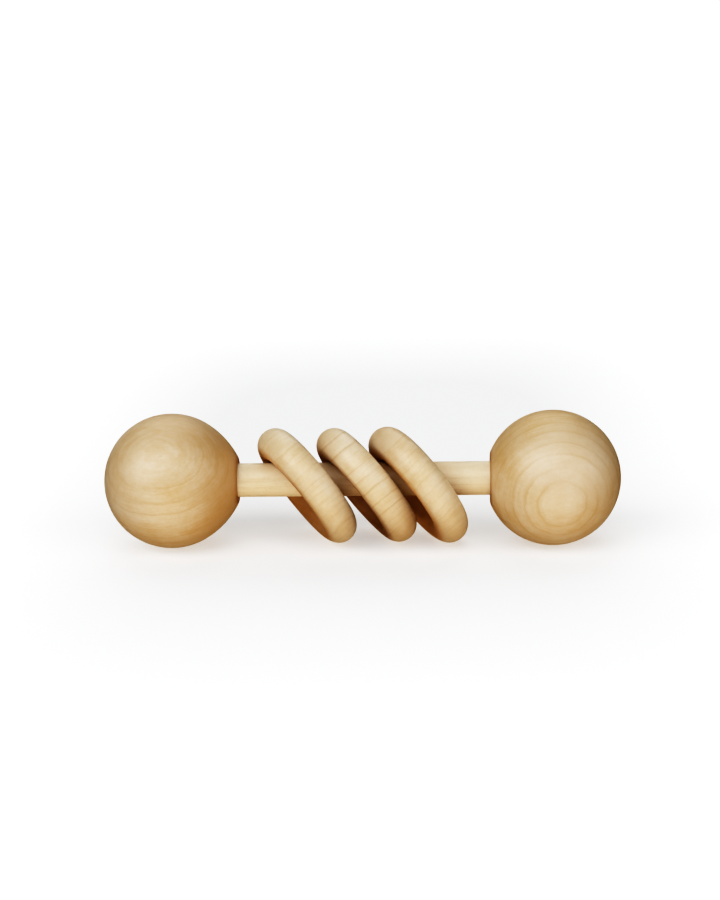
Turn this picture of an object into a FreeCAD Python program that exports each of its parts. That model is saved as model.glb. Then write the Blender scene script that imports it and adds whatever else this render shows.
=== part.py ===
"""Wooden baby rattle: two turned balls glued on the ends of a dowel, three loose rings on it.

Frame: the origin is the middle of the dowel on its axis, +X runs along the dowel towards the
right ball, +Y points to the back and +Z is up. The rattle lies on its two balls, so the surface
under it is the plane z = -ball_diameter / 2. Lengths are in millimetres, angles in degrees.
"""
import FreeCAD, Part
import os

import Sketcher

DRIVING_DIMENSIONS = [
    # turned balls, 1 1/2 inch
    ("ball_diameter", 38.1),
    ("rim_rounding", 0.5),
    # left ball: its dowel side is drawn out to a small flat, 1/2 inch across
    ("left_flat_diameter", 12.7),
    ("left_flat_reach", 19.0),
    ("left_shoulder_angle", 60.0),
    # right ball: a plain sphere with a flat, 9/16 inch across
    ("right_flat_diameter", 14.2875),
    # dowel, 3/8 inch thick and cut 4 inches long
    ("dowel_diameter", 9.525),
    ("dowel_length", 101.6),
    ("dowel_bare_length", 71.0),
    ("dowel_end_chamfer", 0.8),
    # blind holes drilled in the flats for the dowel, 5/8 inch deep, with room for glue
    ("socket_depth", 15.875),
    ("socket_clearance", 0.05),
    ("drill_point_angle", 118.0),
    # turned rings of 3/8 inch stock, a little wider than the balls
    ("ring_diameter", 38.8),
    ("ring_thickness", 9.525),
    # where each ring rests: its place along the dowel, how far its centre is set back behind
    # the dowel, how far its top leans to the left and how far its axis is turned to the back
    ("ring_left_place", -16.23),
    ("ring_left_setback", 0.7),
    ("ring_left_lean", 32.9),
    ("ring_left_turn", 23.8),
    ("ring_middle_place", 0.57),
    ("ring_middle_setback", 1.46),
    ("ring_middle_lean", 34.1),
    ("ring_middle_turn", 22.5),
    ("ring_right_place", 15.19),
    ("ring_right_setback", 0.3),
    ("ring_right_lean", 32.1),
    ("ring_right_turn", 23.8),
]

BALL_RADIUS = "Dimensions.ball_diameter / 2"
LENGTH_TOLERANCE = 1e-4

ORIGIN = (-1, 1)          # the sketch's own origin point
HORIZONTAL_AXIS = -1      # the sketch's own horizontal axis
VERTICAL_AXIS = -2        # the sketch's own vertical axis
START, END, CENTRE = 1, 2, 3      # a sketch curve's own points

doc = FreeCAD.newDocument("BabyRattle")


def fill_sheet():
    """Put the driving dimensions in a spreadsheet, one named cell each."""
    sheet = doc.addObject("Spreadsheet::Sheet", "Dimensions")
    for row, (alias, value) in enumerate(DRIVING_DIMENSIONS, start=1):
        sheet.set(f"A{row}", alias)
        sheet.set(f"B{row}", str(value))
        sheet.setAlias(f"B{row}", alias)
    doc.recompute()
    return sheet


def add_body(label, base, turn="0", lean="0"):
    """Start a piece: base is its origin, turn and lean swing its own X axis back and up."""
    body = doc.addObject("PartDesign::Body", label)
    body.Label = label
    x, y, z = base
    body.setExpression(
        "Placement",
        f"placement(vector({x}; {y}; {z}); rotation({turn}; -({lean}); 0))",
    )
    return body


def add_sketch(body, name, plane):
    """Add a sketch on one of the body's own origin planes."""
    sketch = body.newObject("Sketcher::SketchObject", name)
    support = next(item for item in body.Origin.OriginFeatures if item.Role == plane)
    sketch.AttachmentSupport = (support, [""])
    sketch.MapMode = "FlatFace"
    return sketch


def add_size(sketch, name, expression, *constraint):
    """Add a named dimension to a sketch and bind it to the sheet."""
    index = sketch.addConstraint(Sketcher.Constraint(*constraint))
    sketch.renameConstraint(index, name)
    sketch.setExpression(f"Constraints.{name}", expression)


def join_ends(sketch, first, first_end, second, second_end):
    """Make two points of a sketch coincide."""
    sketch.addConstraint(Sketcher.Constraint("Coincident", first, first_end, second, second_end))


def line_between(sketch, start, end):
    """Add a straight line between two (x, y) points and return its index."""
    segment = Part.LineSegment(FreeCAD.Vector(*start, 0), FreeCAD.Vector(*end, 0))
    return sketch.addGeometry(segment, False)


def arc_between(sketch, centre, radius, start, end):
    """Add an arc that runs anticlockwise from start to end, in radians, and return its index."""
    circle = Part.Circle(FreeCAD.Vector(*centre, 0), FreeCAD.Vector(0, 0, 1), radius)
    return sketch.addGeometry(Part.ArcOfCircle(circle, start, end), False)


def revolve(body, sketch, name):
    """Revolve a sketch once round its own horizontal axis."""
    feature = body.newObject("PartDesign::Revolution", name)
    feature.Profile = sketch
    feature.ReferenceAxis = (sketch, ["H_Axis"])
    feature.Angle = 360
    sketch.Visibility = False
    doc.recompute()
    return feature


def circular_edges(shape, radius):
    """Name the shape's full circular edges of one radius."""
    names = []
    for number, edge in enumerate(shape.Edges, start=1):
        if edge.Degenerated or not isinstance(edge.Curve, Part.Circle):
            continue
        if edge.isClosed() and abs(edge.Curve.Radius - radius) < LENGTH_TOLERANCE:
            names.append(f"Edge{number}")
    return names


def draw_sphere_arc(sketch, start):
    """Draw the sphere's half outline, from start (radians above +X) round to -X."""
    sphere = arc_between(sketch, (0, 0), 19, start, 3.14)
    join_ends(sketch, sphere, CENTRE, *ORIGIN)
    add_size(sketch, "ball_radius", BALL_RADIUS, "Radius", sphere, 19)
    sketch.addConstraint(Sketcher.Constraint("PointOnObject", sphere, END, HORIZONTAL_AXIS))
    return sphere


def close_ball_profile(sketch, sphere, rim_curve, flat_diameter):
    """Close a half outline: the flat from the rim down to the axis, then back inside the ball."""
    flat = line_between(sketch, (18, 6.5), (18, 0))
    spine = line_between(sketch, (18, 0), (-19, 0))
    sketch.addConstraint(Sketcher.Constraint("Vertical", flat))
    join_ends(sketch, rim_curve, START, flat, START)
    join_ends(sketch, flat, END, spine, START)
    join_ends(sketch, spine, END, sphere, END)
    sketch.addConstraint(Sketcher.Constraint("PointOnObject", spine, START, HORIZONTAL_AXIS))
    add_size(sketch, "flat_radius", f"{flat_diameter} / 2", "DistanceY", flat, END, flat, START, 6.5)
    return spine


def plain_ball_profile(body, flat_diameter):
    """Half outline of a sphere cut off by a flat."""
    sketch = add_sketch(body, f"{body.Label}_profile", "XZ_Plane")
    sphere = draw_sphere_arc(sketch, 0.4)
    close_ball_profile(sketch, sphere, sphere, flat_diameter)
    return sketch


def drawn_out_ball_profile(body, flat_diameter, reach, shoulder_angle):
    """Half outline of a sphere that runs, past the shoulder angle, in a flatter arc to its flat."""
    sketch = add_sketch(body, f"{body.Label}_profile", "XZ_Plane")
    sphere = draw_sphere_arc(sketch, 1.05)
    shoulder = arc_between(sketch, (-2.4, -4.1), 23.8, 0.45, 1.05)
    sketch.addConstraint(Sketcher.Constraint("Tangent", shoulder, END, sphere, START))
    spine = close_ball_profile(sketch, sphere, shoulder, flat_diameter)
    add_size(sketch, "reach", reach, "DistanceX", *ORIGIN, spine, START, 18)
    shoulder_place = f"{BALL_RADIUS} * cos({shoulder_angle} * 1deg)"
    add_size(sketch, "shoulder_place", shoulder_place, "DistanceX", *ORIGIN, sphere, START, 9.5)
    return sketch


def drill_socket(body, reach):
    """Drill the blind hole for the dowel from the flat at x = reach, with its drill point."""
    sketch = add_sketch(body, f"{body.Label}_socket_centre", "YZ_Plane")
    sketch.setExpression("AttachmentOffset.Base.z", reach)
    circle = Part.Circle(FreeCAD.Vector(0, 0, 0), FreeCAD.Vector(0, 0, 1), 5)
    mouth = sketch.addGeometry(circle, False)
    join_ends(sketch, mouth, CENTRE, *ORIGIN)
    mouth_radius = "Dimensions.dowel_diameter / 2 + Dimensions.socket_clearance"
    add_size(sketch, "mouth_radius", mouth_radius, "Radius", mouth, 5)
    sketch.Visibility = False
    doc.recompute()
    volume_before = body.Shape.Volume

    socket = body.newObject("PartDesign::Hole", f"{body.Label}_socket")
    socket.Profile = sketch
    socket.DepthType = "Dimension"
    socket.DrillPoint = "Angled"
    socket.setExpression("Diameter", f"2 * ({mouth_radius})")
    socket.setExpression("Depth", "Dimensions.socket_depth")
    socket.setExpression("DrillPointAngle", "Dimensions.drill_point_angle")
    doc.recompute()
    if body.Shape.Volume >= volume_before:
        raise RuntimeError(f"{body.Label}: the socket removes nothing")
    return socket


def round_rim(body, base_feature, flat_diameter):
    """Round the sharp rim between the sphere and its flat."""
    rim = circular_edges(base_feature.Shape, sheet.getPropertyByName(flat_diameter) / 2)
    rounding = body.newObject("PartDesign::Fillet", f"{body.Label}_rim_rounding")
    rounding.Base = (base_feature, rim)
    rounding.setExpression("Radius", "Dimensions.rim_rounding")
    doc.recompute()


def build_left_ball():
    """Ball on the left end, drawn out towards the dowel."""
    reach = "Dimensions.left_flat_reach"
    centre_x = f"-(Dimensions.dowel_bare_length / 2 + {reach})"
    body = add_body("left_ball", (centre_x, "0", "0"))
    profile = drawn_out_ball_profile(
        body, "Dimensions.left_flat_diameter", reach, "Dimensions.left_shoulder_angle")
    revolve(body, profile, "left_ball_turned")
    socket = drill_socket(body, reach)
    round_rim(body, socket, "left_flat_diameter")
    return body


def build_right_ball():
    """Ball on the right end, a sphere with a flat, facing left."""
    reach = f"sqrt(({BALL_RADIUS})^2 - (Dimensions.right_flat_diameter / 2)^2)"
    centre_x = f"Dimensions.dowel_bare_length / 2 + {reach}"
    body = add_body("right_ball", (centre_x, "0", "0"), turn="180")
    profile = plain_ball_profile(body, "Dimensions.right_flat_diameter")
    revolve(body, profile, "right_ball_turned")
    socket = drill_socket(body, reach)
    round_rim(body, socket, "right_flat_diameter")
    return body


def build_dowel():
    """Straight round dowel with chamfered ends, glued in both balls."""
    body = add_body("dowel", ("0", "0", "0"))
    sketch = add_sketch(body, "dowel_section", "YZ_Plane")
    circle = Part.Circle(FreeCAD.Vector(0, 0, 0), FreeCAD.Vector(0, 0, 1), 5)
    section = sketch.addGeometry(circle, False)
    join_ends(sketch, section, CENTRE, *ORIGIN)
    add_size(sketch, "dowel_radius", "Dimensions.dowel_diameter / 2", "Radius", section, 5)
    sketch.Visibility = False

    rod = body.newObject("PartDesign::Pad", "dowel_rod")
    rod.Profile = sketch
    rod.Midplane = True
    rod.setExpression("Length", "Dimensions.dowel_length")
    doc.recompute()

    chamfer = body.newObject("PartDesign::Chamfer", "dowel_end_chamfers")
    chamfer.Base = (rod, circular_edges(rod.Shape, sheet.dowel_diameter / 2))
    chamfer.setExpression("Size", "Dimensions.dowel_end_chamfer")
    doc.recompute()
    return body


def build_ring(label):
    """Loose turned ring that leans on the dowel and stands on the same surface as the balls."""
    tube_radius = "Dimensions.ring_thickness / 2"
    circle_radius = "(Dimensions.ring_diameter - Dimensions.ring_thickness) / 2"
    lean = f"Dimensions.{label}_lean * 1deg"
    turn = f"Dimensions.{label}_turn * 1deg"
    height = f"-{BALL_RADIUS} + {tube_radius} + {circle_radius} * cos({lean})"
    base = (f"Dimensions.{label}_place", f"Dimensions.{label}_setback", height)
    body = add_body(label, base, turn, lean)

    sketch = add_sketch(body, f"{label}_section", "XZ_Plane")
    circle = Part.Circle(FreeCAD.Vector(0, 14, 0), FreeCAD.Vector(0, 0, 1), 4)
    section = sketch.addGeometry(circle, False)
    add_size(sketch, "tube_radius", tube_radius, "Radius", section, 4)
    add_size(sketch, "circle_radius", circle_radius, "DistanceY", *ORIGIN, section, CENTRE, 14)
    sketch.addConstraint(Sketcher.Constraint("PointOnObject", section, CENTRE, VERTICAL_AXIS))
    revolve(body, sketch, f"{label}_turned")
    return body


def check_document(pieces):
    """Stop if any feature failed or any piece is not one valid solid."""
    for item in doc.Objects:
        if "Invalid" in item.State or "Error" in item.State:
            raise RuntimeError(f"{item.Name} failed: {item.State}")
        if item.TypeId == "Sketcher::SketchObject" and not item.FullyConstrained:
            raise RuntimeError(f"{item.Name} is not fully constrained")
    for piece in pieces:
        shape = piece.Shape
        if shape.isNull() or not shape.isValid() or len(shape.Solids) != 1:
            raise RuntimeError(f"{piece.Label} is not one valid solid")


def write_parts(pieces):
    """Write each piece to a STEP file of its own and print its size."""
    os.makedirs("parts", exist_ok=True)
    for piece in pieces:
        piece.Shape.exportStep(os.path.join("parts", f"{piece.Label}.step"))
        box = piece.Shape.optimalBoundingBox(False, False)
        print(
            f"{piece.Label}: {piece.Shape.Volume:.0f} mm3, "
            f"x {box.XMin:.2f}..{box.XMax:.2f}, "
            f"y {box.YMin:.2f}..{box.YMax:.2f}, "
            f"z {box.ZMin:.2f}..{box.ZMax:.2f}"
        )


sheet = fill_sheet()
pieces = [build_left_ball(), build_right_ball(), build_dowel()]
for ring_label in ("ring_left", "ring_middle", "ring_right"):
    pieces.append(build_ring(ring_label))
doc.recompute()
check_document(pieces)
write_parts(pieces)
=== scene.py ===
"""Looks of the wooden baby rattle: turned, sanded and oiled maple pieces around the CAD frame.

Every piece is built in metres in the frame's own axes: +X along the dowel towards the right ball,
+Y to the back, +Z up. Sizes that the frame holds are read from it; the rest are named in mm.
"""

import math
import random

import bmesh
import bpy
import numpy as np
from mathutils import Matrix, Vector, noise


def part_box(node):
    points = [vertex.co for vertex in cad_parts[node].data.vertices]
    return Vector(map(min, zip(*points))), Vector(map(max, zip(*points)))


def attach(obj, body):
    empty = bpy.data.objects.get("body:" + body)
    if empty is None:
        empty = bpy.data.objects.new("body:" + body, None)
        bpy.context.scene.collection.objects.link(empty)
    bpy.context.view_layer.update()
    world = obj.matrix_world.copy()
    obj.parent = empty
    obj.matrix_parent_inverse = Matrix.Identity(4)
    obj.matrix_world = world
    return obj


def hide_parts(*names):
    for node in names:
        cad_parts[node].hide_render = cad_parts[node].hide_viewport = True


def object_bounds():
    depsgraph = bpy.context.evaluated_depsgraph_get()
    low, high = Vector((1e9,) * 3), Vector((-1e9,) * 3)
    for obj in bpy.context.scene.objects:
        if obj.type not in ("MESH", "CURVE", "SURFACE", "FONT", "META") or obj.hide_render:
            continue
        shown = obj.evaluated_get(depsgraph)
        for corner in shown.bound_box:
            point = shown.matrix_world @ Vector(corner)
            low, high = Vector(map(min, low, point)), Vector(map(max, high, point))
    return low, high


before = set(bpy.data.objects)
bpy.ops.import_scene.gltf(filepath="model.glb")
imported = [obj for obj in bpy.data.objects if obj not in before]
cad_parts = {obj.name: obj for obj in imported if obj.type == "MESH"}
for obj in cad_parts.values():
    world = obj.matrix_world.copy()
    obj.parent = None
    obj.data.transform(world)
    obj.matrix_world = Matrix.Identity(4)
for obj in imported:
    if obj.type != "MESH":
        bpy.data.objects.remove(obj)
cad_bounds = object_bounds()

MM = 0.001

# ---------------------------------------------------------------- sizes the frame doesn't hold
LEFT_FLAT_RADIUS = 6.35 * MM
LEFT_SHOULDER_ANGLE = math.radians(60)
RIGHT_FLAT_RADIUS = 7.14375 * MM
RIM_ROUNDING = 0.5 * MM
SOCKET_DEPTH = 15.875 * MM
SOCKET_CLEARANCE = 0.05 * MM
SOCKET_EASING = 0.18 * MM
DRILL_POINT_ANGLE = math.radians(118)
DOWEL_CHAMFER = 0.8 * MM
DOWEL_END_ROUNDING = 0.1 * MM
RING_INSIDE_EASING = 0.06 * MM  # how much flatter than round a ring's section is inside

# ---------------------------------------------------------------- the waver of hand sanding
TURNING_WAVE = 0.045 * MM      # how far it leaves a turned face from its true shape
FINE_WAVE_SHARE = 0.4
LATHE_WAVE_SCALES = (90, 230)  # broad and fine, per metre
RING_WAVE_SCALES = (110, 300)
# the way in which a piece's seed moves it through the noise
LATHE_WAVE_SHIFT = Vector((1, 2.7, -1.3))
RING_WAVE_SHIFT = Vector((1, -1.9, 3.1))

# ---------------------------------------------------------------- handling wear and painted shade, 0 to 1
RIM_WEAR_REACH = 0.9 * MM
MOUTH_WEAR_REACH = 0.7 * MM
MOUTH_WEAR = 0.8
# the rings' darkening is mostly painted shade: inside round the dowel and on the flanks between the
# rings, the left flank most; some of the inside is wear from the dowel
RING_WEAR_AND_SHADE_OVERALL = 0.12
RING_WEAR_AND_SHADE_INSIDE = 0.95
RING_PAINTED_SHADE_FLANKS = 0.55
RING_PAINTED_SHADE_LEFT_FLANK = 0.35
# the dowel's darkening is painted shade on the stretch between and under the rings
DOWEL_PAINTED_SHADE = 0.5
DOWEL_PAINTED_SHADE_MIDDLE = 7 * MM     # the painted shade is centred to the right of the dowel's middle
DOWEL_PAINTED_SHADE_REACH = 22 * MM
DOWEL_PAINTED_SHADE_FADE = 14 * MM

# ---------------------------------------------------------------- steps of the meshes
BALL_SEGMENTS = 224
PLAIN_BALL_STEPS = 150         # from the far pole to the rim
SHOULDERED_BALL_STEPS = 120    # from the far pole to the shoulder
SHOULDER_STEPS = 44
RIM_STEPS = 6
FLAT_STEPS = 5
SOCKET_MOUTH_STEPS = 4
SOCKET_WALL_STEPS = 24
DRILL_POINT_STEPS = 4
DOWEL_SEGMENTS = 96
DOWEL_STEPS = 150
DOWEL_END_STEPS = 6
DOWEL_CORNER_STEPS = 5
RING_STEPS_AROUND = 288
RING_SECTION_STEPS = 96

# ---------------------------------------------------------------- camera
CAMERA_AZIMUTH = math.radians(2.5)
CAMERA_ELEVATION = math.radians(15)
CAMERA_ROLL = math.radians(-1.2)
CAMERA_DISTANCE = 0.6
CAMERA_LENS_MM = 85.0
CAMERA_SENSOR_MM = 36.0
CAMERA_AIM_RIGHT = -1.13 * MM
CAMERA_AIM_UP = 8.2 * MM

dowel_low, dowel_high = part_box("dowel")
DOWEL_RADIUS = (dowel_high.z - dowel_low.z) / 2


# ================================================================ meshes

def add_object(name, mesh_data):
    """Link a mesh to the scene as a smooth-shaded object."""
    mesh_data.shade_smooth()
    piece = bpy.data.objects.new(name, mesh_data)
    bpy.context.scene.collection.objects.link(piece)
    return piece


def sanding_swell(at, offset, scales):
    """Swell of a hand-sanded face, about -1 to 1: a broad waver with a finer one on it."""
    broad, fine = scales
    return noise.noise(at * broad + offset) + FINE_WAVE_SHARE * noise.noise(at * fine - offset)


def clamped(value):
    """The value kept between 0 and 1."""
    return max(0.0, min(1.0, value))


def quad_bezier(start, corner, end, steps):
    """Points of a quadratic curve that rounds a corner, both ends included."""
    points = []
    for step in range(steps + 1):
        t = step / steps
        points.append(start * (1 - t) ** 2 + corner * (2 * t * (1 - t)) + end * t ** 2)
    return points


def arc_points(centre, radius, start, end, steps):
    """Points of an arc in the (x, radius) plane, both ends included."""
    angles = [start + (end - start) * step / steps for step in range(steps + 1)]
    return [centre + radius * Vector((math.cos(a), math.sin(a))) for a in angles]


def lathe(name, profile, place, facing, segments, wave_seed, edge_weight):
    """Revolve a closed half outline about the X axis.

    profile holds (x, radius) points in the piece's own axes and starts and ends on the axis.
    facing is +1 or -1 and says which way the piece's own +X looks. edge_weight gives, for a
    point of the outline, how much its colour is darkened, kept as the mesh attribute for wear and
    painted shade: handling wear on the balls, painted shade on the dowel.
    """
    built = bmesh.new()
    wear_and_painted_shade = built.verts.layers.float.new("wear_and_painted_shade")
    wave_offset = wave_seed * LATHE_WAVE_SHIFT

    def add_vertex(point, angle):
        out = Vector((0, math.cos(angle), math.sin(angle)))
        place_on_piece = Vector((point.x * facing, 0, 0)) + out * point.y
        swell = sanding_swell(place_on_piece, wave_offset, LATHE_WAVE_SCALES)
        away = place_on_piece.normalized() if place_on_piece.length > 0 else Vector()
        vertex = built.verts.new(place + place_on_piece + away * (TURNING_WAVE * swell))
        vertex[wear_and_painted_shade] = edge_weight(point)
        return vertex

    rings = []
    step = 2 * math.pi / segments
    for point in profile:
        on_axis = point.y < 1e-9
        count = 1 if on_axis else segments
        rings.append([add_vertex(point, step * i) for i in range(count)])
    for lower, upper in zip(rings, rings[1:]):
        for i in range(segments):
            following = (i + 1) % segments
            if len(lower) == 1:
                built.faces.new((lower[0], upper[i], upper[following]))
            elif len(upper) == 1:
                built.faces.new((lower[i], upper[0], lower[following]))
            else:
                built.faces.new((lower[i], upper[i], upper[following], lower[following]))
    bmesh.ops.recalc_face_normals(built, faces=built.faces)
    mesh_data = bpy.data.meshes.new(name)
    built.to_mesh(mesh_data)
    built.free()
    return add_object(name, mesh_data)


def socket_profile(flat_x, socket_radius):
    """Outline of the drilled hole: eased mouth, wall, then the drill point's cone to the axis."""
    mouth = Vector((flat_x, socket_radius + SOCKET_EASING))
    throat = Vector((flat_x - SOCKET_EASING, socket_radius))
    bottom = Vector((flat_x - SOCKET_DEPTH, socket_radius))
    tip = Vector((bottom.x - socket_radius / math.tan(DRILL_POINT_ANGLE / 2), 0))
    points = quad_bezier(mouth, Vector((flat_x, socket_radius)), throat, SOCKET_MOUTH_STEPS)
    for step in range(1, SOCKET_WALL_STEPS + 1):
        points.append(throat.lerp(bottom, step / SOCKET_WALL_STEPS))
    for step in range(1, DRILL_POINT_STEPS + 1):
        points.append(bottom.lerp(tip, step / DRILL_POINT_STEPS))
    return points


def rounded_rim(outline, flat_x, flat_radius, mouth_radius):
    """Round the corner between the outline and the flat, then cross the flat to the mouth."""
    corner = Vector((flat_x, flat_radius))
    kept = [point for point in outline if (point - corner).length > RIM_ROUNDING]
    on_flat = corner - Vector((0, RIM_ROUNDING))
    points = kept + quad_bezier(kept[-1], corner, on_flat, RIM_STEPS)[1:]
    mouth = Vector((flat_x, mouth_radius))
    points += [on_flat.lerp(mouth, step / FLAT_STEPS) for step in range(1, FLAT_STEPS)]
    return points


def ball_outline(radius, flat_x, flat_radius, shoulder_angle):
    """Half outline of a ball from its far pole to its rim; the shoulder may be drawn out."""
    if shoulder_angle is None:
        rim_angle = math.asin(flat_radius / radius)
        return arc_points(Vector((0, 0)), radius, math.pi, rim_angle, PLAIN_BALL_STEPS)
    outline = arc_points(
        Vector((0, 0)), radius, math.pi, shoulder_angle, SHOULDERED_BALL_STEPS)
    # the flatter shoulder arc leaves the sphere at the shoulder angle and meets the rim
    leave = Vector((math.cos(shoulder_angle), math.sin(shoulder_angle)))
    rim = Vector((flat_x, flat_radius))
    extra = (rim.length_squared - radius ** 2) / (2 * (radius - rim.dot(leave)))
    centre = -extra * leave
    rim_angle = math.atan2(rim.y - centre.y, rim.x - centre.x)
    outline += arc_points(
        centre, radius + extra, shoulder_angle, rim_angle, SHOULDER_STEPS)[1:]
    return outline


def build_ball(node, facing, flat_radius, shoulder_angle, wave_seed):
    """Turned ball with its flat, softened rim and drilled socket, and the ball's centre."""
    low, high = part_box(node)
    radius = (high.z - low.z) / 2
    far_x = low.x if facing > 0 else high.x
    flat_world_x = high.x if facing > 0 else low.x
    centre = Vector((far_x + facing * radius, 0, 0))
    flat_x = abs(flat_world_x - centre.x)
    outline = ball_outline(radius, flat_x, flat_radius, shoulder_angle)
    mouth_radius = DOWEL_RADIUS + SOCKET_CLEARANCE
    profile = rounded_rim(outline, flat_x, flat_radius, mouth_radius + SOCKET_EASING)
    profile += socket_profile(flat_x, mouth_radius)

    def edge_weight(point):
        """Strongest at the rim of the flat and at the mouth round the dowel."""
        to_rim = (point - Vector((flat_x, flat_radius))).length
        to_mouth = (point - Vector((flat_x, mouth_radius))).length
        rim_wear = math.exp(-(to_rim / RIM_WEAR_REACH) ** 2)
        mouth_wear = math.exp(-(to_mouth / MOUTH_WEAR_REACH) ** 2)
        return rim_wear + MOUTH_WEAR * mouth_wear

    turned = lathe(
        node + "_turned", profile, centre, facing, BALL_SEGMENTS, wave_seed, edge_weight)
    return turned, centre


def build_dowel(node, wave_seed):
    """Straight rod with chamfered, slightly rounded ends."""
    low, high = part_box(node)
    radius = DOWEL_RADIUS
    half = (high.x - low.x) / 2
    shoulder = half - DOWEL_CHAMFER
    end_radius = radius - DOWEL_CHAMFER
    end_radii = [end_radius * step / DOWEL_END_STEPS for step in range(DOWEL_END_STEPS + 1)]
    profile = [Vector((-half, end)) for end in end_radii]
    profile += quad_bezier(
        Vector((-half, end_radius)), Vector((-half + DOWEL_END_ROUNDING, radius)),
        Vector((-shoulder, radius)), DOWEL_CORNER_STEPS)[1:]
    for step in range(1, DOWEL_STEPS + 1):
        profile.append(Vector((shoulder * (2 * step / DOWEL_STEPS - 1), radius)))
    profile += quad_bezier(
        Vector((shoulder, radius)), Vector((half - DOWEL_END_ROUNDING, radius)),
        Vector((half, end_radius)), DOWEL_CORNER_STEPS)[1:]
    profile += [Vector((half, end)) for end in reversed(end_radii[:-1])]
    centre = (low + high) / 2

    def edge_weight(point):
        """Painted shade on the stretch of the rod between the rings, strongest a little right of
        the middle.
        """
        from_middle = abs(point.x - DOWEL_PAINTED_SHADE_MIDDLE)
        return DOWEL_PAINTED_SHADE * clamped((DOWEL_PAINTED_SHADE_REACH - from_middle) / DOWEL_PAINTED_SHADE_FADE)

    return lathe(node + "_rod", profile, centre, 1, DOWEL_SEGMENTS, wave_seed, edge_weight)


def ring_frame(node):
    """Centre, axis and sizes of a ring, worked out from its CAD mesh."""
    corners = np.array([vertex.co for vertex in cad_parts[node].data.vertices], float)
    low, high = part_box(node)
    centre = (low + high) / 2
    offsets = corners - np.array(centre)
    # the axis is the direction in which the ring is thinnest
    directions = np.linalg.eigh(offsets.T @ offsets)[1]
    axis = directions[:, 0]
    axis = axis if axis[0] > 0 else -axis
    along_axis = offsets @ axis
    tube_radius = along_axis.max()
    from_axis = np.linalg.norm(offsets - np.outer(along_axis, axis), axis=1)
    axis = Vector(axis)
    back = Vector((-axis.y, axis.x, 0)).normalized()
    upward = axis.cross(back)
    return {
        "centre": centre, "axis": axis, "back": back, "up": upward,
        "tube_radius": tube_radius, "circle_radius": from_axis.max() - tube_radius,
    }


def ring_wear_and_painted_shade(turn):
    """How dark a ring is painted at an angle round its section, 0 being outside and pi inside.

    Mostly painted shade: inside, round the dowel, with some wear where the dowel rubs, and on both
    flanks, in the shade between the rings, the left one more.
    """
    ring_darkening = RING_WEAR_AND_SHADE_OVERALL - RING_WEAR_AND_SHADE_INSIDE * math.cos(turn)
    ring_darkening += RING_PAINTED_SHADE_FLANKS * math.sin(turn) ** 6
    ring_darkening += RING_PAINTED_SHADE_LEFT_FLANK * max(0.0, -math.sin(turn)) ** 3
    return clamped(ring_darkening)


def build_ring(node, wave_seed):
    """Turned ring, its section a little flatter inside than round, and the ring's own frame."""
    ring = ring_frame(node)
    built = bmesh.new()
    wear_and_painted_shade = built.verts.layers.float.new("wear_and_painted_shade")
    wave_offset = wave_seed * RING_WAVE_SHIFT
    rows = []
    for i in range(RING_STEPS_AROUND):
        around = 2 * math.pi * i / RING_STEPS_AROUND
        outward = ring["back"] * math.cos(around) + ring["up"] * math.sin(around)
        middle = outward * ring["circle_radius"]
        row = []
        for j in range(RING_SECTION_STEPS):
            turn = 2 * math.pi * j / RING_SECTION_STEPS
            away = outward * math.cos(turn) + ring["axis"] * math.sin(turn)
            inside = max(0.0, -math.cos(turn))
            at = middle + away * ring["tube_radius"]
            swell = sanding_swell(at, wave_offset, RING_WAVE_SCALES)
            reach = ring["tube_radius"] + TURNING_WAVE * swell - RING_INSIDE_EASING * inside ** 4
            vertex = built.verts.new(ring["centre"] + middle + away * reach)
            # painted shade inside and on the flanks, with some wear inside
            vertex[wear_and_painted_shade] = ring_wear_and_painted_shade(turn)
            row.append(vertex)
        rows.append(row)
    for i in range(RING_STEPS_AROUND):
        row, following = rows[i], rows[(i + 1) % RING_STEPS_AROUND]
        for j in range(RING_SECTION_STEPS):
            above = (j + 1) % RING_SECTION_STEPS
            built.faces.new((row[j], following[j], following[above], row[above]))
    bmesh.ops.recalc_face_normals(built, faces=built.faces)
    mesh_data = bpy.data.meshes.new(node + "_turned")
    built.to_mesh(mesh_data)
    built.free()
    return add_object(node + "_turned", mesh_data), ring


# ================================================================ maple

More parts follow.
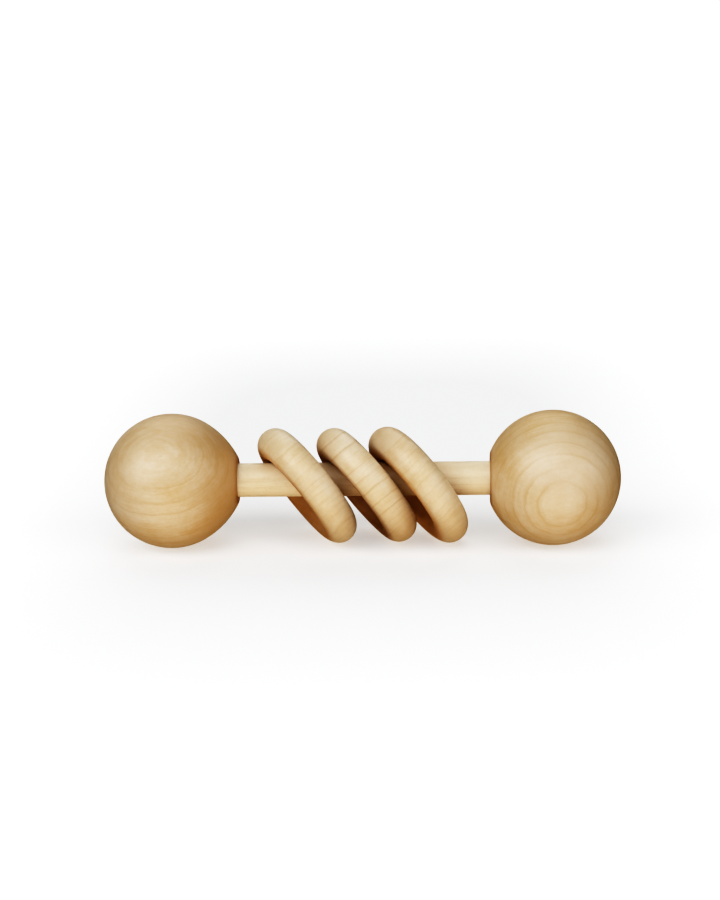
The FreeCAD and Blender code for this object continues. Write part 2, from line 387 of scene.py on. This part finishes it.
class Shader:
    """Builds a node material by short calls that return output sockets."""

    def __init__(self, name):
        self.material = bpy.data.materials.new(name)
        self.material.use_nodes = True
        self.tree = self.material.node_tree
        self.surface = self.tree.nodes["Principled BSDF"]
        self.object_coordinates = self.node("ShaderNodeTexCoord", output="Object")

    def put(self, value, socket):
        """Link a socket, or set a plain value."""
        if isinstance(value, bpy.types.NodeSocket):
            self.tree.links.new(value, socket)
        else:
            socket.default_value = value

    def node(self, kind, inputs=(), output=0, **settings):
        """Add a node, set its settings and feed its inputs by name or number."""
        made = self.tree.nodes.new(kind)
        for key, value in settings.items():
            setattr(made, key, value)
        for key, value in dict(inputs).items():
            self.put(value, made.inputs[key])
        return made.outputs[output]

    def math(self, operation, first, second=0.0, clamp=False):
        return self.node(
            "ShaderNodeMath", {0: first, 1: second}, operation=operation, use_clamp=clamp)

    def vector(self, operation, first, second=(0, 0, 0)):
        output = "Value" if operation in ("LENGTH", "DOT_PRODUCT") else "Vector"
        return self.node(
            "ShaderNodeVectorMath", {0: first, 1: second}, output, operation=operation)

    def weighted_sum(self, start, terms):
        """The start value, plus each term's value times its weight."""
        total = start
        for value, weight in terms:
            total = self.math("ADD", total, self.math("MULTIPLY", value, weight))
        return total

    def noise(self, coordinates, scales, detail, roughness, output=0):
        """Fractal noise with a scale for each axis.

        Output 0 is its value and output 1 its colour, three noises at once.
        """
        inputs = {
            "Vector": self.vector("MULTIPLY", coordinates, scales),
            "Scale": 1.0, "Detail": detail, "Roughness": roughness}
        return self.node("ShaderNodeTexNoise", inputs, output)

    def map_range(self, value, start, end, low, high, interpolation="LINEAR"):
        """A value that goes from low to high while the given one goes from start to end."""
        inputs = {"Value": value, "From Min": start, "From Max": end, "To Min": low, "To Max": high}
        return self.node(
            "ShaderNodeMapRange", inputs, "Result", interpolation_type=interpolation)

    def ramp(self, value, stops):
        """Map a 0 to 1 value through (position, grey) stops."""
        made = self.tree.nodes.new("ShaderNodeValToRGB")
        made.color_ramp.interpolation = "EASE"
        elements = made.color_ramp.elements
        while len(elements) < len(stops):
            elements.new(0.5)
        for element, (position, grey) in zip(elements, stops):
            element.position = position
            element.color = (grey, grey, grey, 1)
        self.put(value, made.inputs[0])
        return made.outputs[0]

    def mix(self, factor, first, second):
        """Blend two colours; a factor of 0 gives the first."""
        made = self.tree.nodes.new("ShaderNodeMix")
        made.data_type = "RGBA"
        # inputs 6 and 7 are the two colours
        self.put(factor, made.inputs[0])
        self.put(first, made.inputs[6])
        self.put(second, made.inputs[7])
        return made.outputs[2]


PIECE_REACH_MM = 19.6          # no part of a ball or ring is farther from its own centre
LAYER_WIDTH_SPREAD = (0.6, 1.4)
BEND_SWING = 5                 # the slow noise strays about a fifth from its middle
FAINTEST_LAYER = 0.35          # its line's strength, as a share of the strongest layer's
FLECK_SHARE = 0.12
# how far the rubbed tone is mixed in: wear on the balls, painted shade on the dowel, mostly painted
# shade on the rings
RUBBED_AND_SHADED_SHARE = 0.75
LINE_SHARE = 0.5
SEED_SHIFT = Vector((17.3, 5.1, 29.7))     # how far apart in mm the seeds lie in the noises

OILED_ROUGHNESS = 0.4
OILED_IOR = 1.5
OILED_SPECULAR_LEVEL = 0.7
PORE_DEPTH = 0.06 * MM
PORE_STRENGTH = 0.4

# each noise's scales per mm across the layers, along them and along the fibres, then its
# detail and roughness
WOOD_NOISES = {
    "bend": ((0.06, 0.06, 0.03), 1.0, 0.5),
    "waver": ((0.45, 0.45, 0.16), 2.0, 0.5),
    "fading": ((0.1, 0.1, 0.06), 1.0, 0.5),
    "fibres": ((4.2, 4.2, 0.3), 3.0, 0.6),
    "streaks": ((1.7, 0.14, 0.12), 2.0, 0.6),
    "flecks": ((0.8, 5.0, 1.4), 1.0, 0.5),
    "mottle": ((0.45, 0.45, 0.4), 3.0, 0.65),
    "drift": ((0.08, 0.08, 0.05), 3.0, 0.55),
}
# the mean colour's place between early and dense wood, and how far each noise swings it
MEAN_DEPTH = 0.28
DEPTH_SWINGS = {"drift": 1.3, "streaks": 0.75, "mottle": 0.8, "fibres": 0.55}
LAYER_SWING = 0.2
# (position, grey) stops of the ramps that fade the lines and pick out the flecks
FADING_STOPS = ((0.32, 0.25), (0.62, 1.0))
FLECK_STOPS = ((0.58, 0.0), (0.7, 1.0))
# how unevenly a zone ends, in mm
ZONE_MOTTLE = 3.0
ZONE_STREAKS = 4.0


def wood_rotation(layer_normal, fibre):
    """Rotation whose X axis is the growth layers' normal and whose Z axis runs along the fibres."""
    across = layer_normal.normalized()
    along = (fibre - across * fibre.dot(across)).normalized()
    side = along.cross(across)
    return Matrix((across, side, along)).transposed().to_euler()


def growth_edges(near, far, listed, mean_width, seed):
    """Distances from the pith, in mm, at which growth layers end, from near to far.

    The listed ones are kept; on both sides of them the layers go on with uneven widths.
    """
    widths = random.Random(seed)
    edges = sorted(listed)
    while edges[0] > near:
        edges.insert(0, edges[0] - mean_width * widths.uniform(*LAYER_WIDTH_SPREAD))
    while edges[-1] < far:
        edges.append(edges[-1] + mean_width * widths.uniform(*LAYER_WIDTH_SPREAD))
    return edges


def count_layers(shader, distance, edges):
    """Number of growth layers from the first edge to a point, with a fraction for the last one."""
    near, far = edges[0], edges[-1]
    curve = shader.tree.nodes.new("ShaderNodeFloatCurve")
    points = curve.mapping.curves[0].points
    while len(points) < len(edges):
        points.new(0.5, 0.5)
    for index, (point, edge) in enumerate(zip(points, edges)):
        point.location = ((edge - near) / (far - near), index / (len(edges) - 1))
        point.handle_type = "VECTOR"
    curve.mapping.update()
    along = shader.math("DIVIDE", shader.math("SUBTRACT", distance, near), far - near)
    shader.put(along, curve.inputs["Value"])
    return shader.math("MULTIPLY", curve.outputs[0], len(edges) - 1)


def centred(shader, value, amount):
    """A 0 to 1 noise value turned into a swing of plus or minus half the amount."""
    return shader.math("MULTIPLY", shader.math("SUBTRACT", value, 0.5), amount)


def wood_space(shader, centre, grain):
    """Coordinates in mm: x across the layers from the pith, y along them, z along the fibres.

    They come back as they are, and shifted by the seed so that each piece has its own figure.
    """
    across, seed = grain["across"].normalized(), grain["seed"]
    wood = shader.node(
        "ShaderNodeMapping",
        {"Vector": shader.object_coordinates, "Location": centre - across * (grain["pith"] * MM),
         "Rotation": wood_rotation(across, grain["fibre"]), "Scale": (MM, MM, MM)},
        vector_type="TEXTURE")
    return wood, shader.vector("ADD", wood, seed * SEED_SHIFT)


def pith_distance(shader, wood, shifted, grain):
    """Distance from the pith in mm, bent by a slow and a fine noise."""
    bent = wood
    for noise_name, amount in (
            ("bend", grain["bend"] * BEND_SWING), ("waver", grain["waver"])):
        wave = shader.noise(shifted, *WOOD_NOISES[noise_name], output=1)
        wave = shader.vector("SUBTRACT", wave, (0.5, 0.5, 0.5))
        wave = shader.vector("MULTIPLY", wave, (amount, amount, 0))
        bent = shader.vector("ADD", bent, wave)
    return shader.vector("LENGTH", shader.vector("MULTIPLY", bent, (1, 1, 0)))


def late_wood_lines(shader, distance, shifted, grain):
    """Strength of the line that closes each growth layer, and a tone that differs by layer."""
    pith, seed = grain["pith"], grain["seed"]
    reach = PIECE_REACH_MM + grain["bend"]
    edges = growth_edges(pith - reach, pith + reach, grain["edges"], grain["width"], seed)
    layers = count_layers(shader, distance, edges)
    season = shader.math("FRACT", layers)
    year = shader.math("ADD", shader.math("FLOOR", layers), seed)
    year_tone = shader.node("ShaderNodeTexWhiteNoise", {"W": year}, "Value", noise_dimensions="1D")
    # the line fades in before the layer's edge and stops soon after it
    share = grain["late"] / grain["width"]
    line = shader.ramp(season, [
        (0.0, 1.0), (0.2 * share, 0.6), (0.5 * share, 0.0), (1 - 1.5 * share, 0.0),
        (1 - 0.7 * share, 0.3), (1 - 0.3 * share, 0.85), (1.0, 1.0)])
    strength = shader.map_range(year_tone, 0.0, 1.0, FAINTEST_LAYER, 1.0)
    # lines come and go over the face
    fading = shader.noise(shifted, *WOOD_NOISES["fading"])
    fading = shader.ramp(fading, FADING_STOPS)
    line = shader.math("MULTIPLY", line, shader.math("MULTIPLY", strength, fading))
    return line, year_tone


def wood_figure(shader, distance, shifted):
    """The noises that break up the wood's colour, from the finest fibres to the slowest drift."""
    parts = shader.tree.nodes.new("ShaderNodeSeparateXYZ")
    shader.put(shifted, parts.inputs[0])
    # the streaks follow the bent layers
    in_layer = shader.node(
        "ShaderNodeCombineXYZ", {0: distance, 1: parts.outputs[1], 2: parts.outputs[2]})
    flecks = shader.noise(shifted, *WOOD_NOISES["flecks"])
    return {
        "fibres": shader.noise(shifted, *WOOD_NOISES["fibres"]),
        "streaks": shader.noise(in_layer, *WOOD_NOISES["streaks"]),
        "flecks": shader.ramp(flecks, FLECK_STOPS),
        "mottle": shader.noise(shifted, *WOOD_NOISES["mottle"]),
        "drift": shader.noise(shifted, *WOOD_NOISES["drift"]),
    }


def wood_depth(shader, distance, figure, year_tone, grain):
    """How far the colour goes from pale to dense wood, 0 to 1."""
    depth = centred(shader, year_tone, LAYER_SWING)
    for part, amount in DEPTH_SWINGS.items():
        depth = shader.math("ADD", depth, centred(shader, figure[part], amount))
    pale_layer, dark_layer, amount = grain["deepening"]
    deepening = shader.map_range(distance, pale_layer, dark_layer, 0.0, amount)
    depth = shader.math("ADD", depth, deepening)
    return shader.math("ADD", depth, MEAN_DEPTH, clamp=True)


def add_zone(shader, colour, centre, figure, zone):
    """Blend another tone into the wood towards one side, with an uneven edge."""
    direction, start, end, amount, tone = zone
    side = shader.vector("SUBTRACT", shader.object_coordinates, centre)
    side = shader.vector("DOT_PRODUCT", side, direction / MM)
    side = shader.math("ADD", side, centred(shader, figure["mottle"], ZONE_MOTTLE))
    side = shader.math("ADD", side, centred(shader, figure["streaks"], ZONE_STREAKS))
    share = shader.map_range(side, start, end, 0.0, amount, "SMOOTHSTEP")
    return shader.mix(share, colour, tone)


def set_oiled_finish(shader, late_wood, figure, wear_and_painted_shade):
    """Gloss and relief of oiled, finely sanded wood.

    Dense lines shine a little less, and worn places and places of painted shade a little more.
    """
    roughness = shader.weighted_sum(
        OILED_ROUGHNESS, ((figure["fibres"], 0.12), (late_wood, 0.06), (wear_and_painted_shade, -0.06)))
    height = shader.weighted_sum(
        0.0, ((figure["fibres"], 0.5), (late_wood, -0.5), (figure["flecks"], -0.25)))
    bump = shader.node(
        "ShaderNodeBump",
        {"Strength": PORE_STRENGTH, "Distance": PORE_DEPTH, "Height": height}, "Normal")
    shader.put(roughness, shader.surface.inputs["Roughness"])
    shader.put(bump, shader.surface.inputs["Normal"])
    shader.surface.inputs["IOR"].default_value = OILED_IOR
    shader.surface.inputs["Specular IOR Level"].default_value = OILED_SPECULAR_LEVEL


def maple(name, centre, grain, tone):
    """Oiled maple cut from a log whose pith runs along the fibres, beside the piece.

    grain says how the piece lies in the log, with lengths in mm:
      across     direction from the pith to the piece's centre
      fibre      direction of the fibres
      pith       distance from the pith to the piece's centre
      edges      distances from the pith at which some of the growth layers end
      width      mean width of the other layers
      late       width of the dense wood at the end of a layer
      deepening  distances from the pith of the palest and the darkest wood, and how much it darkens
      bend       how far the layers stray slowly
      waver      how far they stray over a short way
      lines      how strongly the layers' edges show
      zones      sides with another tone: direction, start and end from the centre, share, tone
      seed       number that varies the rest
    tone holds the colours of early wood, dense wood, the layers' edges and rubbed places; the last
    stands for wear on the balls and for painted shade on the dowel and rings.
    """
    shader = Shader(name)
    wood, shifted = wood_space(shader, centre, grain)
    distance = pith_distance(shader, wood, shifted, grain)
    late_wood, year_tone = late_wood_lines(shader, distance, shifted, grain)
    figure = wood_figure(shader, distance, shifted)
    light, deep, line, rubbed_and_shaded = tone
    colour = shader.mix(wood_depth(shader, distance, figure, year_tone, grain), light, deep)
    for zone in grain.get("zones", ()):
        colour = add_zone(shader, colour, centre, figure, zone)
    line_share = shader.math("MULTIPLY", late_wood, LINE_SHARE * grain["lines"], clamp=True)
    colour = shader.mix(line_share, colour, line)
    colour = shader.mix(shader.math("MULTIPLY", figure["flecks"], FLECK_SHARE), colour, line)
    # the attribute darkens the colour: wear on the balls, painted shade on the dowel, mostly
    # painted shade on the rings
    wear_and_painted_shade = shader.node("ShaderNodeAttribute", output="Fac", attribute_name="wear_and_painted_shade")
    rubbed_and_shaded_share = shader.math("MULTIPLY", wear_and_painted_shade, RUBBED_AND_SHADED_SHARE, clamp=True)
    shader.put(shader.mix(rubbed_and_shaded_share, colour, rubbed_and_shaded), shader.surface.inputs["Base Color"])
    set_oiled_finish(shader, late_wood, figure, wear_and_painted_shade)
    return shader.material


# ================================================================ pieces

# colours of early wood, dense wood, the layers' edges and rubbed places; on the dowel the last is
# the colour of painted shade
BALL_TONE = (
    (0.602, 0.516, 0.402, 1), (0.512, 0.368, 0.202, 1), (0.450, 0.305, 0.140, 1),
    (0.360, 0.175, 0.060, 1))
DOWEL_TONE = (
    (0.728, 0.650, 0.508, 1), (0.650, 0.535, 0.372, 1), (0.470, 0.320, 0.160, 1),
    (0.500, 0.280, 0.090, 1))
RING_TONE = (
    (0.655, 0.563, 0.435, 1), (0.562, 0.428, 0.258, 1), (0.400, 0.240, 0.100, 1))
# tones of the zones: darker heartwood, and a paler tone that paints a highlight
HEART_TONE = (0.460, 0.285, 0.120, 1)
PAINTED_HIGHLIGHT_TONE = (0.640, 0.575, 0.500, 1)

ALONG_DOWEL = Vector((1, 0, 0))

LEFT_BALL_GRAIN = {
    "across": Vector((0.125, 0.766, -0.640)), "fibre": ALONG_DOWEL, "pith": 41.0,
    "edges": (15.0, 26.4, 30.2, 33.7, 36.6), "width": 2.8, "late": 0.8, "deepening": (24, 44, 0.22),
    "bend": 0.25, "waver": 1.2, "lines": 0.65, "seed": 1,
    "zones": [
        (Vector((0.97, 0, -0.24)), 3.0, 15.5, 0.55, HEART_TONE),
        (Vector((0.35, -0.10, 0.93)), 9.0, 19.0, 0.40, HEART_TONE)],
}
# the right ball's layers are nearly flat, and end at these depths in mm under its front
RIGHT_BALL_DEPTHS = (1.05, 2.81, 5.10, 7.72, 10.73, 13.9, 17.1)
RIGHT_BALL_PITH = 400.0
BALL_RADIUS_MM = 19.05
RIGHT_BALL_GRAIN = {
    "across": Vector((0.09, -0.98, -0.145)), "fibre": ALONG_DOWEL, "pith": RIGHT_BALL_PITH,
    "edges": [RIGHT_BALL_PITH + BALL_RADIUS_MM - depth for depth in RIGHT_BALL_DEPTHS],
    "width": 2.8, "late": 0.8, "deepening": (418, 407, 0.55),
    "bend": 0.12, "waver": 0.6, "lines": 0.85, "seed": 2,
    # a painted highlight: a paler patch on the ball's front right, where the right key light's
    # glint falls
    "zones": [(Vector((0.24, -0.86, 0.45)), 12.0, 19.0, 0.3, PAINTED_HIGHLIGHT_TONE)],
}
DOWEL_GRAIN = {
    "across": Vector((0, -0.5, 0.85)), "fibre": ALONG_DOWEL, "pith": 60.0,
    "edges": (60.6,), "width": 1.6, "late": 0.5, "deepening": (56, 64, 0.1),
    "bend": 0.5, "waver": 0.6, "lines": 0.4, "seed": 3,
}
# the rings' fibres run front to back, so the layers cross the tube in front
RING_LAYER_TILT = math.radians(25)     # of their normal, from the ring's up towards its back
# each ring's rubbed tone is the colour of painted shade on its inside and flanks, with some wear
# inside
RING_GRAIN = {
    "ring_left": {
        "pith": 30.0, "edges": (29.0,), "width": 2.2, "late": 0.6, "deepening": (25, 45, 0.08),
        "bend": 0.7, "waver": 0.7, "lines": 0.32, "seed": 4,
        "rubbed_and_shaded": (0.440, 0.222, 0.070, 1)},
    "ring_middle": {
        "pith": 90.0, "edges": (75.5, 78.0, 81.0, 84.0, 88.1, 91.8, 95.0, 101.4), "width": 3.2,
        "late": 0.45, "deepening": (105, 70, 0.1), "bend": 0.2, "waver": 0.6, "lines": 0.85,
        "seed": 5, "rubbed_and_shaded": (0.255, 0.098, 0.022, 1),
        "zones": [(Vector((0.35, -0.10, -0.93)), 2.0, 17.0, 0.35, HEART_TONE)]},
    "ring_right": {
        "pith": 50.0, "edges": (50.5,), "width": 2.4, "late": 0.6, "deepening": (65, 35, 0.08),
        "bend": 0.7, "waver": 0.7, "lines": 0.32, "seed": 6,
        "rubbed_and_shaded": (0.450, 0.222, 0.066, 1),
        "zones": [
            (Vector((-0.35, -0.10, 0.93)), 8.0, 19.0, 0.28, HEART_TONE),
            (Vector((0.35, -0.10, -0.93)), 6.0, 19.0, 0.25, HEART_TONE)]},
}

# the lights behind the object are linked to this collection, so that they miss the floor
pieces = bpy.data.collections.new("pieces")


def finish_piece(piece, node, body, material):
    """Give a piece its material and hang it on the frame in place of its CAD node."""
    piece.data.materials.append(material)
    pieces.objects.link(piece)
    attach(piece, body)
    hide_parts(node)


left_ball, left_centre = build_ball(
    "left_ball", facing=1, flat_radius=LEFT_FLAT_RADIUS, shoulder_angle=LEFT_SHOULDER_ANGLE,
    wave_seed=3.1)
finish_piece(
    left_ball, "left_ball", "handle",
    maple("maple_left_ball", left_centre, LEFT_BALL_GRAIN, BALL_TONE))

right_ball, right_centre = build_ball(
    "right_ball", facing=-1, flat_radius=RIGHT_FLAT_RADIUS, shoulder_angle=None,
    wave_seed=7.4)
finish_piece(
    right_ball, "right_ball", "handle",
    maple("maple_right_ball", right_centre, RIGHT_BALL_GRAIN, BALL_TONE))

dowel = build_dowel("dowel", wave_seed=5.2)
finish_piece(
    dowel, "dowel", "handle",
    maple("maple_dowel", Vector((0, 0, 0)), DOWEL_GRAIN, DOWEL_TONE))

for ring_name, ring_grain in RING_GRAIN.items():
    ring_piece, ring = build_ring(ring_name, wave_seed=2.3 * ring_grain["seed"])
    across = ring["up"] * math.cos(RING_LAYER_TILT) + ring["back"] * math.sin(RING_LAYER_TILT)
    ring_grain = {**ring_grain, "across": across, "fibre": ring["back"]}
    finish_piece(
        ring_piece, ring_name, ring_name,
        maple(
            "maple_" + ring_name, ring["centre"], ring_grain,
            (*RING_TONE, ring_grain["rubbed_and_shaded"])))


# ================================================================ studio

# the pale ground is also lit from itself, which keeps its shadows light
FLOOR_TONES = ((0.518, 0.524, 0.535, 1), (0.532, 0.538, 0.550, 1))
FLOOR_GLOW_NEAR = 0.365
FLOOR_GLOW_FAR = 0.615
FLOOR_GLOW_SETBACK = 0.085     # the dimmest part lies behind the dowel and is wider front to back
FLOOR_GLOW_DEPTH = 0.5
FLOOR_GLOW_START = 0.058
FLOOR_GLOW_END = 0.110
FLOOR_MOTTLE = ((9.0, 9.0, 9.0), 2.0, 0.5)     # the noise's scales, detail and roughness
FLOOR_HALF_SIZE = 8.0

WHITE = (1, 1, 1)
# name, azimuth, elevation, level, spread, colour, whether only the pieces are lit
LIGHTS = (
    ("key_left", -50, 32, 0.51, 45, WHITE, False),
    ("key_right", 54, 24, 0.305, 45, WHITE, False),
    ("front_top", 0, 52, 0.29, 45, WHITE, False),
    ("back_top", 185, 52, 0.235, 50, (0.96, 1.0, 1.02), False),
    ("back_fill", 182, 0, 0.62, 60, (1.0, 0.97, 0.92), True),
    ("back_bounce", 185, -45, 0.18, 80, (1.0, 0.84, 0.66), True),
    ("bounce", 8, -50, 0.66, 90, (1.0, 0.86, 0.70), False),
)
WORLD_COLOUR = (1.0, 0.75, 0.5, 1)
WORLD_STRENGTH = 0.03

CONTRAST = 2.3
SHOULDER = 0.21
CURVE_LIGHTS = (0.03, 0.06, 0.1, 0.15, 0.2, 0.26, 0.33, 0.41, 0.5, 0.6, 0.7, 0.8, 0.9)


def direction_to(azimuth, elevation):
    """Direction from the object at two angles in radians; azimuth 0 is in front."""
    return Vector((
        math.sin(azimuth) * math.cos(elevation),
        -math.cos(azimuth) * math.cos(elevation),
        math.sin(elevation)))


def build_floor():
    """Plain pale floor at the height of the balls' lowest points, wide enough to fill the view."""
    built = bmesh.new()
    bmesh.ops.create_grid(built, x_segments=16, y_segments=16, size=FLOOR_HALF_SIZE)
    bmesh.ops.translate(built, verts=built.verts, vec=(0, 0, cad_bounds[0][2]))
    mesh_data = bpy.data.meshes.new("floor")
    built.to_mesh(mesh_data)
    built.free()
    floor = add_object("floor", mesh_data)
    # the bounce light stands for what the floor throws back, so the floor neither adds to it
    # nor blocks it
    floor.visible_diffuse = False
    floor.visible_glossy = False
    floor.visible_shadow = False
    floor.data.materials.append(floor_paper())


def floor_paper():
    """Matt pale paper that glows a little, and more so away from the object."""
    shader = Shader("floor_paper")
    mottle = shader.noise(shader.object_coordinates, *FLOOR_MOTTLE)
    paper = shader.mix(mottle, *FLOOR_TONES)
    away = shader.vector("SUBTRACT", shader.object_coordinates, (0, FLOOR_GLOW_SETBACK, 0))
    away = shader.vector("MULTIPLY", away, (1, FLOOR_GLOW_DEPTH, 0))
    # fourth powers give the dim part the outline of a rounded rectangle
    away = shader.vector("LENGTH", shader.vector("MULTIPLY", away, away))
    away = shader.math("SQRT", away)
    glow = shader.map_range(
        away, FLOOR_GLOW_START, FLOOR_GLOW_END, FLOOR_GLOW_NEAR, FLOOR_GLOW_FAR)
    shader.put(paper, shader.surface.inputs["Base Color"])
    shader.put(glow, shader.surface.inputs["Emission Strength"])
    shader.surface.inputs["Emission Color"].default_value = (1, 1, 1, 1)
    shader.surface.inputs["Roughness"].default_value = 1.0
    shader.surface.inputs["Specular IOR Level"].default_value = 0.0
    return shader.material


def add_soft_light(name, azimuth, elevation, level, spread, colour, pieces_only):
    """Soft even light from far away, as a large diffuser gives.

    azimuth 0 is in front and positive to the right, in degrees. level is the brightness that a
    white surface facing the light gets from it. spread is how wide the diffuser looks, in degrees.
    With pieces_only the light doesn't reach the floor, and it leaves no glint on the pieces.
    """
    lamp = bpy.data.lights.new(name, "SUN")
    lamp.energy = math.pi * level
    lamp.angle = math.radians(spread)
    lamp.color = colour
    holder = bpy.data.objects.new(name, lamp)
    bpy.context.scene.collection.objects.link(holder)
    toward = direction_to(math.radians(azimuth), math.radians(elevation))
    holder.rotation_euler = toward.to_track_quat("Z", "Y").to_euler()
    if pieces_only:
        holder.light_linking.receiver_collection = pieces
        holder.visible_glossy = False


def build_world():
    """Faint warm light from all round, as the room's walls give."""
    world = bpy.data.worlds.new("studio")
    world.use_nodes = True
    background = world.node_tree.nodes["Background"]
    background.inputs["Color"].default_value = WORLD_COLOUR
    background.inputs["Strength"].default_value = WORLD_STRENGTH
    bpy.context.scene.world = world


def build_camera():
    """Camera with a long lens, slightly above and to the right of straight ahead."""
    level = Vector((math.cos(CAMERA_AZIMUTH), math.sin(CAMERA_AZIMUTH), 0))
    backward = direction_to(CAMERA_AZIMUTH, CAMERA_ELEVATION)
    upright = backward.cross(level)
    right = level * math.cos(CAMERA_ROLL) + upright * math.sin(CAMERA_ROLL)
    up = upright * math.cos(CAMERA_ROLL) - level * math.sin(CAMERA_ROLL)
    aim = right * CAMERA_AIM_RIGHT + up * CAMERA_AIM_UP
    place = aim + backward * CAMERA_DISTANCE
    lens = bpy.data.cameras.new("camera")
    lens.lens = CAMERA_LENS_MM
    lens.sensor_width = CAMERA_SENSOR_MM
    lens.clip_start = 0.01
    camera = bpy.data.objects.new("camera", lens)
    bpy.context.scene.collection.objects.link(camera)
    axes = Matrix((right, up, backward)).transposed().to_4x4()
    camera.matrix_world = Matrix.Translation(place) @ axes
    bpy.context.scene.camera = camera


def set_tone_curve():
    """A contrasty S-shaped response with a soft shoulder, the same for red, green and blue."""
    view = bpy.context.scene.view_settings
    view.view_transform = "Standard"
    view.use_curve_mapping = True
    # curve 3 is the one for all three colours together
    curve = view.curve_mapping.curves[3]
    for light in CURVE_LIGHTS:
        raised = light ** CONTRAST
        curve.points.new(light, raised * (1 + SHOULDER) / (raised + SHOULDER))
    view.curve_mapping.update()


build_floor()
build_world()
for light in LIGHTS:
    add_soft_light(*light)
build_camera()
set_tone_curve()
